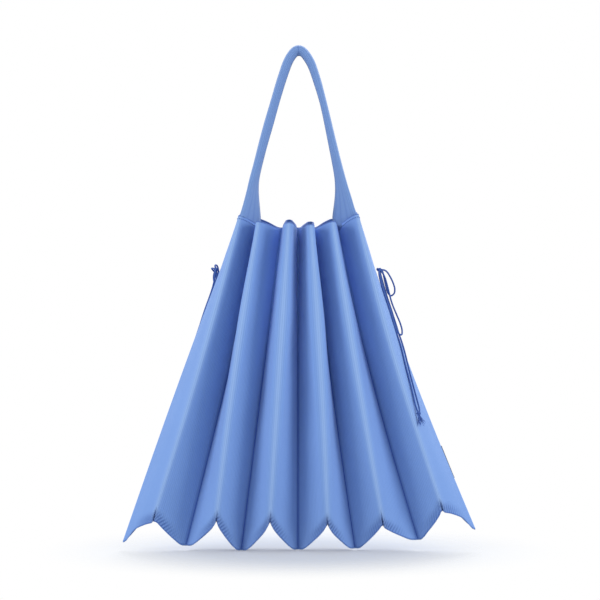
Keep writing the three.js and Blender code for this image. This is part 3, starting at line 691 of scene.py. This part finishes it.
def wall_columns(shares, outwards):
    """The front's columns from rim to hem, turned in towards the bottom seam, with the slit at the
    foot of each ridge."""
    sheet = np.empty((len(COLUMNS), len(shares), 3))
    for c, (column, (top, bottom, across, slit)) in enumerate(zip(COLUMNS, COLUMN_FRAMES)):
        z = lerp(top, bottom, shares)
        x, y = wall_point(*column, z, outwards)
        above = z - bottom
        tucked = smoothstep(1 - above / TUCK_REACH) * across
        slot = SLOT[c] * smoothstep(1.25 - 1.25 * above / (slit + SLIT_FADE))
        y = y * (1 - TUCK_SHARE * tucked) + SLIT_DEPTH * slot
        sheet[c] = np.stack([x, y, z], axis=1)
    return sheet


def net(across, along):
    """A grid's map, from its distances each way."""
    return np.stack(np.meshgrid(across, along, indexing="ij"), axis=-1).reshape(-1, 2)


def mirrored(values):
    return np.concatenate([values, values[-2:0:-1]])


def round_the_bag(front):
    """The front's columns followed by their mirror images, back to the left side."""
    return np.concatenate([front, front[-2:0:-1] * (1, -1, 1)])


def pleated_wall(knit):
    """The knit from hem to rim with the lip rolled over at its top, and its inner face."""
    # Rows lie close together where the rim's band and the hem's edge are drawn
    fine, edge = RIM_BAND / BODY_HEIGHT, HEM_BAND / BODY_HEIGHT
    shares = np.concatenate([
        np.linspace(0, fine, 12)[:-1], np.linspace(fine, 1 - edge, 132), np.linspace(1 - edge, 1, 12)[1:],
    ])
    outside = wall_columns(shares[::-1], KNIT / 2)
    lip = []
    for turn in np.linspace(0, math.pi, 7)[1:]:
        ring = wall_columns(np.zeros(1), math.cos(turn) * KNIT / 2)
        ring[..., 2] += math.sin(turn) * KNIT / 2
        lip.append(ring)
    sheet = round_the_bag(np.concatenate([outside, *lip], axis=1))
    columns, rows = sheet.shape[:2]
    down = np.append(shares[::-1], np.zeros(len(lip)))
    depth = np.append(0, np.cumsum(np.linalg.norm(np.diff(outside[:, ::-1], axis=1), axis=2).mean(0)))[::-1]
    depth = np.append(depth, -np.arange(1, len(lip) + 1) * 0.5)
    from_valley, from_ridge = mirrored(FROM_VALLEY), mirrored(FROM_RIDGE)
    # A painted highlight along each ridge
    crest = np.outer(bell(from_ridge / 3.2), np.ones(rows))
    # Painted shade: the dark line deep in a valley grows towards the hem. The knit's cut edges are dark too,
    # partly their real turned edge and partly painted shade
    crease = np.outer(bell(from_valley / 1.1) * 0.9, lerp(0.4, 1, smoothstep(down / 0.5)))
    crease[:, 0] = np.maximum(crease[:, 0], 0.8)
    crease[:, 1] = np.maximum(crease[:, 1], 0.35)
    crease[:, len(shares) - 1 :] = np.maximum(crease[:, len(shares) - 1 :], 0.7)
    hem = np.outer(smoothstep(mirrored(ACROSS) * 1.6 - 0.3), smoothstep(1.5 - (1 - down) * BODY_HEIGHT / 10))
    # Painted bounce light deep between panels near the rim
    sunk = np.outer(smoothstep(1.3 - from_valley / 20), smoothstep(1.2 - down / 0.5))
    around = mirrored(RUN)
    wall = make_piece(
        "knitted_pleats", sheet.reshape(-1, 3), grid_faces(columns, rows, closed=True)[:, ::-1], knit,
        net(around, depth), crease=crease.ravel(), crest=crest.ravel(), hem=hem.ravel(), sunk=sunk.ravel(),
    )
    inside = round_the_bag(wall_columns(np.linspace(0, 1, LINING_ROWS), -KNIT / 2))[::2]
    lining = make_piece(
        "inner_face", inside.reshape(-1, 3), grid_faces(len(inside), LINING_ROWS, closed=True)[:, ::-1], knit,
        net(around[::2], depth[::-1][:LINING_ROWS] * 4),
    )
    return wall, lining


def folded_floor(knit):
    """The ridges' feet turned in to the bottom seam, front to back."""
    hem = wall_columns(np.ones(1), KNIT / 2)[:, 0]
    inward = np.array([0, 0.04, 0.1, 0.2, 0.35, 0.5, 0.65, 0.8, 0.9, 0.96, 1.0])
    half = []
    for share in inward:
        row = hem.copy()
        row[:, 1] *= 1 - share
        rolled = -1.2 * math.sin(math.pi * share / 0.1) if share < 0.1 else 0
        row[:, 2] += rolled + (5 + 4 * SLOT) * math.sin(math.pi * share) * ACROSS
        half.append(row)
    half = np.stack(half, axis=1)
    sheet = np.concatenate([half, half[:, -2::-1] * (1, -1, 1)], axis=1)
    columns, rows = sheet.shape[:2]
    seam = bell((np.arange(rows) - rows // 2) / 0.8)
    # Painted shade in each ridge's slit, and a dark line along the bottom seam
    crease = np.maximum(SLOT[:, None], seam * 0.6)
    return make_piece(
        "folded_floor", sheet.reshape(-1, 3), grid_faces(columns, rows), knit,
        net(RUN, np.arange(rows) * 3.0), crease=crease.ravel(),
    )


def end_rods(side, height):
    """The rods that one end of the strap is bent round, back to front, at a height above the rim:
    over the wall at the left, inside it at the right."""

    def front(i):
        z = np.float64(rim_z(FOLDS[i]) + height)
        return (*rod(i, z), z)

    valley, ridge, fold = (front(i) for i in STRAP_FOLDS[side])
    row = [behind(valley), behind(ridge), fold, ridge, valley]
    if side == "left":
        return row
    row = row[::-1]
    return [inset(row, i, KNIT + WALL_GAP) for i in range(len(row))][::-1]


def inset(rods, i, depth):
    """A rod of the row, moved so that the knit runs that deep inside the wall."""
    x, y, radius, turn, z = rods[i]
    if turn < 0:
        return x, y, radius + depth, turn, z
    before = run_angle(rods[i - 1], rods[i])
    turned = turn_to(before, run_angle(rods[i], rods[i + 1]))
    middle = before + turned / 2
    shift = (LEAST_RADIUS - radius + depth) / math.sin((math.pi - turned) / 2)
    return x - shift * math.cos(middle), y - shift * math.sin(middle), LEAST_RADIUS, turn, z


def strap_rows():
    """The strap's sections: its outer line's point, then deep, gather and spread."""
    rows = [
        (np.array([a * RIM_WIDTH / 2, 0, u * STRAP_DROP + STRAP_DEPTH]), d, g, s) for a, u, d, g, s in STRAP
    ]

    def on_rim(index, height, outwards):
        z = rim_z(FOLDS[index]) + height
        return np.array([float(fold_x(FOLDS[index], z)) + outwards, 0, z]), 1.5, 1, 1

    return [
        on_rim(LEFT, -0.4, -KNIT / 2),
        *rows,
        on_rim(RIGHT, KNIT, -KNIT / 2 - WALL_GAP),
        on_rim(RIGHT, -STRAP_TUCK, -KNIT / 2 - WALL_GAP),
    ]


def strap_section(rods, outwards, steps=8, between=5):
    """An open line bent round a row of rods."""

    def touch(rod, angle):
        x, y, radius, turn, z = rod
        reach = turn * radius + outwards
        return np.array([x + reach * math.cos(angle), y + reach * math.sin(angle), z])

    runs = [run_angle(a, b) for a, b in zip(rods, rods[1:])]
    end = len(rods) - 1
    line = [touch(rods[0], runs[0])]
    for i, rod in enumerate(rods):
        if 0 < i < end:
            line += [touch(rod, bent(runs[i - 1], runs[i], rod[3], k / steps)) for k in range(steps + 1)]
        if i < end:
            ahead = touch(rods[i + 1], runs[i])
            line += [lerp(line[-1], ahead, k / between) for k in range(1, between)]
    return np.array([*line, touch(rods[-1], runs[-1])])


def knitted_strap(knit):
    """The band from its left end, sewn over the wall, to its right end, tucked inside it."""
    rows = strap_rows()
    top, steps = 1 + [row[0] for row in STRAP].index(0), 9
    origins, rings = [], []
    for i, (a, b, c, d) in enumerate(stretches([row[0] for row in rows])):
        for k in range(steps + (i == len(rows) - 2)):
            t = k / steps
            origins.append(a + b * t + c * t**2 + d * t**3)
            tangent = b + 2 * c * t + 3 * d * t**2
            form = (lerp(rows[i][j], rows[i + 1][j], t) for j in (1, 2, 3))
            side = "left" if i + t <= top else "right"
            rings.append(strap_ring(side, origins[-1], tangent / np.linalg.norm(tangent), *form))
    sheet, runs = np.array(rings), distances(origins)
    settle(sheet)
    fit_outline(sheet)
    settle(sheet)
    count, size = sheet.shape[:2]
    around = distances(sheet[count // 2])
    # The seam that joins the strap's two halves shows as a fine line over its top
    joint = bell((runs - runs[top_ring(sheet)]) / 1.1) * 0.5
    return make_piece(
        "folded_strap", sheet.reshape(-1, 3), grid_faces(count, size, tube=True), knit,
        net(runs, around)[:, ::-1],
        # The strap is darker and greyer all over, and a little darker again along its seam line
        crease=np.repeat(np.maximum(joint, 0.17), size), handled=np.full(count * size, 0.5),
    )


def top_ring(sheet):
    return int(np.argmax(sheet[:, :, 2].mean(axis=1)))


def settle(sheet):
    """Evens the strap out along its length, its two ends apart."""
    ring = np.arange(len(sheet))
    free = smoothstep(np.minimum(ring, ring[::-1]) / 10)[:, None, None]
    for _ in range(14):
        middle = (np.roll(sheet, 1, 0) + np.roll(sheet, -1, 0)) / 2
        sheet += 0.5 * free * (middle - sheet)


def fit_outline(sheet):
    """Brings the strap's two runs to their outlines, from under its top down to the rim."""
    top = top_ring(sheet)
    # Just under the top the band's inside is a round bend, as over a hook
    below = np.clip(-sheet[..., 2], 0, None)
    least = 2.1 * np.sqrt(below)
    sign = np.where(np.arange(len(sheet)) <= top, -1, 1)[:, None]
    x = np.maximum(sign * sheet[..., 0], 0)
    sheet[..., 0] = sign * (x**4 + np.where(below < 40, least, 0) ** 4) ** 0.25
    levels = np.linspace(-172, -2, 171)
    heights, *edges = np.array(STRAP_OUTLINE[::-1], float).T
    for rows, (first, last), lowest in (
        (slice(0, top + 1), edges[:2], -178),
        (slice(len(sheet) - 1, top, -1), edges[2:], -190),
    ):
        run = sheet[rows]
        z = run[..., 2]
        lines = np.array([np.interp(levels, run[:, r, 2], run[:, r, 0]) for r in range(run.shape[1])])
        now = [np.interp(z, levels, line) for line in (lines.min(0), lines.max(0))]
        share = (run[..., 0] - now[0]) / (now[1] - now[0])
        fitted = lerp(np.interp(z, heights, first), np.interp(z, heights, last), share)
        weight = smoothstep((-z - 4) / 14) * smoothstep((z - lowest) / 12)
        run[..., 0] = lerp(run[..., 0], fitted, weight)


def strap_ring(side, origin, tangent, deep, gather, spread):
    """One section of the strap: free and folded, or gathered round the folds of the wall."""
    sign = 1 if side == "left" else -1
    fold = FOLDS[STRAP_FOLDS[side][2]]
    height = min(origin[2] - rim_z(fold), KNIT)
    half = STRAP_WIDTH / 2
    arm = (deep * STRAP_DEPTH, 0.55 * half, 0.5)
    corner = (KNIT + STRAP_CURL, half - KNIT / 2 - STRAP_CURL, STRAP_CURL)
    free = [arm, corner, (KNIT / 2 + STRAP_CROWN, 0, STRAP_CROWN), behind(corner), behind(arm)]
    rods = []
    for own, (x, y, radius, turn, z) in zip(free, end_rods(side, height)):
        rods.append((
            lerp(own[0], sign * (x - origin[0]), gather),
            lerp(own[1], y, spread),
            lerp(own[2], radius, gather),
            turn,
            (z - rim_z(fold) - height) * gather,
        ))
    along = lerp(tangent, np.array([0, 0, sign]), gather)
    along = along / np.linalg.norm(along)
    inward = np.array([along[2], 0, -along[0]])
    section = np.vstack([strap_section(rods, KNIT / 2), strap_section(rods, -KNIT / 2)[::-1]])
    return origin + section[:, :1] * inward + np.stack([0 * section[:, 1], section[:, 1], section[:, 2]], 1)


def knot_place(side):
    """The middle of a bow's knot, on the panel beside its side fold."""
    z = np.float64(RIM_Z - TIE_DROP)
    index, near = (LEFT, LEFT + 1) if side == "left" else (RIGHT, RIGHT - 1)
    fold, ridge = rod(index, z), rod(near, z)
    angle = run_angle(behind(ridge) if side == "left" else ridge, fold)
    lean = math.atan(fold_x(FOLDS[index], z - 0.5) - fold_x(FOLDS[index], z + 0.5))
    reach = (SIDE_RADIUS + KNIT / 2 + KNOT_GAP[side] + KNOT_RADIUS) / math.cos(lean)
    shift = KNOT_SHIFT[side]
    x = fold[0] + reach * math.cos(angle) + shift * math.sin(angle)
    return np.array([x, fold[1] + reach * math.sin(angle) - shift * math.cos(angle), z], float)


def trefoil(radius):
    """The closed line of a knot pulled tight, round the origin."""
    t = np.linspace(0, 2 * math.pi, 72, endpoint=False)
    line = np.stack([np.sin(t) + 2 * np.sin(2 * t), np.cos(t) - 2 * np.cos(2 * t), -1.3 * np.sin(3 * t)], 1)
    return line * (radius - CORD / 2) / 3


def frayed_knot(end, turn):
    """A string's end knot with its two tufts of hairs, as sweeps."""
    sweeps = [sweep(end + trefoil(END_KNOT_RADIUS)[:, [0, 2, 1]], END_CORD, 12, 4.0, closed=True)]
    rng = np.random.default_rng(7)
    t = np.linspace(0, 1, 9)[:, None]
    for tuft in TUFTS:
        ahead = np.array(tuft) * turn / np.linalg.norm(tuft)
        for _ in range(HAIRS):
            lean = rng.normal(0, 0.15, 3)
            root = end + ahead * 1.5 + rng.normal(0, 0.35, 3)
            tip = root + (ahead + lean) * TUFT_LENGTH * rng.uniform(0.75, 1.0)
            bend = rng.normal(0, 0.5, 3)
            line = lerp(root, tip, t) + np.sin(math.pi * t) * bend
            sweeps.append(sweep(line, np.linspace(*HAIR, len(t)), 5))
    return sweeps


def string_piece(name, sweeps, string):
    """One piece from sweeps, with the shade between the string's strands."""
    points, faces, maps, furrows = zip(*sweeps)
    starts = np.cumsum([0, *map(len, points)])
    faces = [face + start for start, part in zip(starts, faces) for face in part]
    points, maps, furrows = (np.concatenate(parts) for parts in (points, maps, furrows))
    return make_piece(name, points, faces, string, maps, crease=furrows)


def tied_bow(side, string):
    """A bow's strings, knots and frayed ends, each in the place of its node."""
    middle = knot_place(side)
    # The left bow is the right one, turned to the back
    turn = np.array([-1, -1, 1] if side == "left" else [1, 1, 1])
    pulled_tight = sweep(middle + trefoil(KNOT_RADIUS), CORD / 2, 12, 4.5, closed=True)
    knot = string_piece(f"tie_{side}_bow_knot", [pulled_tight], string)
    wear(knot, f"tie_{side}_knot")
    end = middle + np.array(END_KNOT) * turn
    frayed = string_piece(f"tie_{side}_frayed_end", frayed_knot(end, turn), string)
    wear(frayed, f"tie_{side}_end_knot")
    for name, route in CORD_ROUTES[side].items():
        is_loop = name.startswith("loop")
        route = np.array(route, float)
        last = route[-1] * INTO_KNOT if is_loop else np.array(END_KNOT)
        line, length = follow(middle + np.vstack([route[0] * INTO_KNOT, route, last]) * turn, 0.9)
        piece = string_piece(f"tie_{side}_{name}_string", [sweep(line, CORD / 2, 18, 5.0)], string)
        wear(piece, f"tie_{side}_{name}")


def side_label(tape):
    """A blank folded tape beside the right side fold, towards the back, and the lines it is sewn
    down by."""
    down, over = np.linspace(0, 1, 25), np.linspace(0, 1, 17)
    rows, columns = len(down), len(over)
    grids = np.empty((2, rows, columns, 3))
    for i, share in enumerate(down):
        z = np.float64(RIM_Z - TAG_DROP - share * TAG_LENGTH)
        fold = rod(RIGHT, z)
        angle = run_angle(fold, behind(rod(RIGHT - 1, z)))
        outward = np.array([math.cos(angle), math.sin(angle), 0])
        along = np.array([-outward[1], outward[0], 0])
        base = np.array([fold[0], fold[1], z], float) + outward * (fold[2] + KNIT / 2 + WALL_GAP)
        for grid, out in zip(grids, (TAG_THICK, 0)):
            grid[i] = base + outward * out + along * over[:, None] * TAG_WIDTH
    # Its outer long edges are rounded off
    grids[0][:, [0, -1]] += 0.5 * (grids[1] - grids[0])[:, [0, -1]]
    count = rows * columns
    quads = grid_faces(rows, columns)
    corners = np.arange(count).reshape(rows, columns)
    rim = [*corners[0], *corners[1:, -1], *corners[-1, -2::-1], *corners[-2:0:-1, 0]]
    faces = [*quads[:, ::-1], *(quads + count)]
    faces += [(a, b, b + count, a + count) for a, b in zip(rim, rim[1:] + rim[:1])]
    outer = grids[0]
    ends = {"top": lerp(outer[0], outer[1], 0.85)[1:-1], "bottom": lerp(outer[-1], outer[-2], 0.85)[1:-1]}
    uv = net(down * TAG_LENGTH, over * TAG_WIDTH)
    return make_piece("blank_tag", grids.reshape(-1, 3), faces, tape, np.vstack([uv, uv])), ends


def row_of_stitches(name, path, thread, **sizes):
    """Stitches end to end along a path in millimetres, made in Geometry Nodes and kept as a mesh."""
    tree = bpy.data.node_groups.new("row_of_stitches", "GeometryNodeTree")
    tree.interface.new_socket("Path", in_out="INPUT", socket_type="NodeSocketGeometry")
    for size in ("Stitch", "Gap", "Thread"):
        tree.interface.new_socket(size, in_out="INPUT", socket_type="NodeSocketFloat")
    tree.interface.new_socket("Stitches", in_out="OUTPUT", socket_type="NodeSocketGeometry")
    given = add(tree, "NodeGroupInput")
    length = output(given, "Stitch")
    thickness = add(tree, "ShaderNodeMath", (output(given, "Thread"), 0.5), operation="MULTIPLY")
    pitch = add(tree, "ShaderNodeMath", (length, output(given, "Gap")), operation="ADD")
    line = add(tree, "GeometryNodeMeshToCurve", {"Mesh": given})
    points = add(tree, "GeometryNodeCurveToPoints", {"Curve": line, "Length": pitch}, mode="LENGTH")
    along = add(tree, "FunctionNodeAlignRotationToVector", {"Vector": output(points, "Tangent")}, axis="Z")
    half_length = add(tree, "ShaderNodeMath", (length, 0.5), operation="MULTIPLY")
    scale = add(tree, "ShaderNodeCombineXYZ", (thickness, thickness, half_length))
    loop = add(tree, "GeometryNodeMeshUVSphere", {"Segments": 8, "Rings": 6, "Radius": 1.0})
    stitches = add(tree, "GeometryNodeInstanceOnPoints", {
        "Points": points, "Instance": loop, "Rotation": along, "Scale": scale,
    })
    solid = add(tree, "GeometryNodeRealizeInstances", {"Geometry": stitches})
    smooth = add(tree, "GeometryNodeSetShadeSmooth", {"Geometry": solid})
    sewn = add(tree, "GeometryNodeSetMaterial", {"Geometry": smooth, "Material": thread})
    add(tree, "NodeGroupOutput", (sewn,))

    carrier = bpy.data.meshes.new(name)
    steps = [(i, i + 1) for i in range(len(path) - 1)]
    carrier.from_pydata((np.asarray(path, float) * MM).tolist(), steps, [])
    guide = linked("guide", carrier)
    modifier = guide.modifiers.new("stitches", "NODES")
    modifier.node_group = tree
    for socket in tree.interface.items_tree:
        if socket.name in sizes:
            modifier[socket.identifier] = sizes[socket.name] * MM
    made = bpy.data.meshes.new_from_object(guide.evaluated_get(bpy.context.evaluated_depsgraph_get()))
    made.name = name
    bpy.data.objects.remove(guide)
    return linked(name, made)


def strap_seam(side, thread):
    """The seam under the rim that holds one end of the strap."""
    rings = STRAP_FOLDS[side]
    path = []
    for column, (top, *_) in zip(COLUMNS, COLUMN_FRAMES):
        if min(rings) <= column[0] < max(rings) or column[0] == rings[2]:
            z = float(top) - SEAM_DROP
            path.append((*map(float, wall_point(*column, z, KNIT / 2 + 0.05)), z))
    if side == "right":
        path = path[::-1]
    path = [(x, -y, z) for x, y, z in path[::-1]] + path[1:]
    return row_of_stitches(f"{side}_strap_seam", path, thread, Stitch=2.2, Gap=0.8, Thread=0.9)


def studio():
    """Camera and light of a plain white product photograph: a softbox at each side, one behind."""
    scene = bpy.context.scene
    camera = linked("camera", bpy.data.cameras.new("camera"))
    reach, tilt = 3.0, math.radians(3)
    target = Vector((0.001, 0, -0.256))
    camera.location = target + Vector((0, -reach * math.cos(tilt), reach * math.sin(tilt)))
    camera.rotation_euler = (target - camera.location).to_track_quat("-Z", "Y").to_euler()
    camera.data.sensor_width = 36
    camera.data.lens = 36 * reach / 0.63
    scene.camera = camera
    scene.view_settings.view_transform = "Standard"

    def softbox(name, place, size, power):
        light = linked(name, bpy.data.lights.new(name, "AREA"))
        light.data.size = size
        light.data.energy = power
        light.location = place
        aim = Vector((0, 0, -0.3)) - Vector(place)
        light.rotation_euler = aim.to_track_quat("-Z", "Y").to_euler()

    softbox("left_softbox", (-2.1, -0.95, 0.35), 1.1, 25)
    softbox("right_softbox", (2.1, -1.05, 0.25), 1.1, 25)
    softbox("back_softbox", (0.2, 1.5, 1.1), 1.2, 40)

    world = bpy.data.worlds.new("studio")
    scene.world = world
    world.use_nodes = True
    tree = world.node_tree
    tree.nodes.clear()
    seen = add(tree, "ShaderNodeLightPath")
    white = add(tree, "ShaderNodeBackground", {"Color": (1, 1, 1, 1), "Strength": 1.0})
    soft = add(tree, "ShaderNodeBackground", {"Color": linear("#edf5fd"), "Strength": 0.87})
    both = add(tree, "ShaderNodeMixShader", (seen, soft, white))
    add(tree, "ShaderNodeOutputWorld", (both,))

    # A pale floor, a little blue in the bag's shadow, that fades out into the white round it
    floor = bpy.data.materials.new("pale_floor")
    floor.use_nodes = True
    tree = floor.node_tree
    tree.nodes.clear()
    place = output(add(tree, "ShaderNodeTexCoord"), "Object")
    flat = add(tree, "ShaderNodeVectorMath", (place, (1, 1.35, 0)), operation="MULTIPLY")
    distance = output(add(tree, "ShaderNodeVectorMath", (flat,), operation="LENGTH"), "Value")
    near = add(tree, "ShaderNodeMapRange", {
        "Value": distance, "From Min": 0.08, "From Max": 0.29, "To Min": 1.0, "To Max": 0.0,
    }, interpolation_type="SMOOTHSTEP")
    lit = add(tree, "ShaderNodeBsdfDiffuse", {"Color": (0.39, 0.405, 0.435, 1)})
    glow = add(tree, "ShaderNodeEmission", {"Color": (1, 1, 1, 1), "Strength": 0.29})
    pale = add(tree, "ShaderNodeAddShader", (lit, glow))
    clear = add(tree, "ShaderNodeBsdfTransparent")
    add(tree, "ShaderNodeOutputMaterial", (add(tree, "ShaderNodeMixShader", (near, clear, pale)),))
    mesh = bpy.data.meshes.new("floor")
    z = (HEM_Z - 1.5) * MM
    mesh.from_pydata([(-1, -1, z), (1, -1, z), (1, 1, z), (-1, 1, z)], [], [(0, 1, 2, 3)])
    mesh.materials.append(floor)
    linked("floor", mesh)


studio()
knit, string, tape, thread = pleated_knit(), tie_string(), tag_tape(), sewing_thread()
for side in ("left", "right"):
    tied_bow(side, string)
for piece in (*pleated_wall(knit), folded_floor(knit)):
    wear(piece, "pleated_body")
wear(knitted_strap(knit), "strap")
for side in ("left", "right"):
    wear(strap_seam(side, thread))
label, sewn_ends = side_label(tape)
wear(label, "side_tag")
for end, path in sewn_ends.items():
    tack = row_of_stitches(f"tag_stitches_{end}", path, thread, Stitch=1.6, Gap=0.7, Thread=0.5)
    wear(tack)
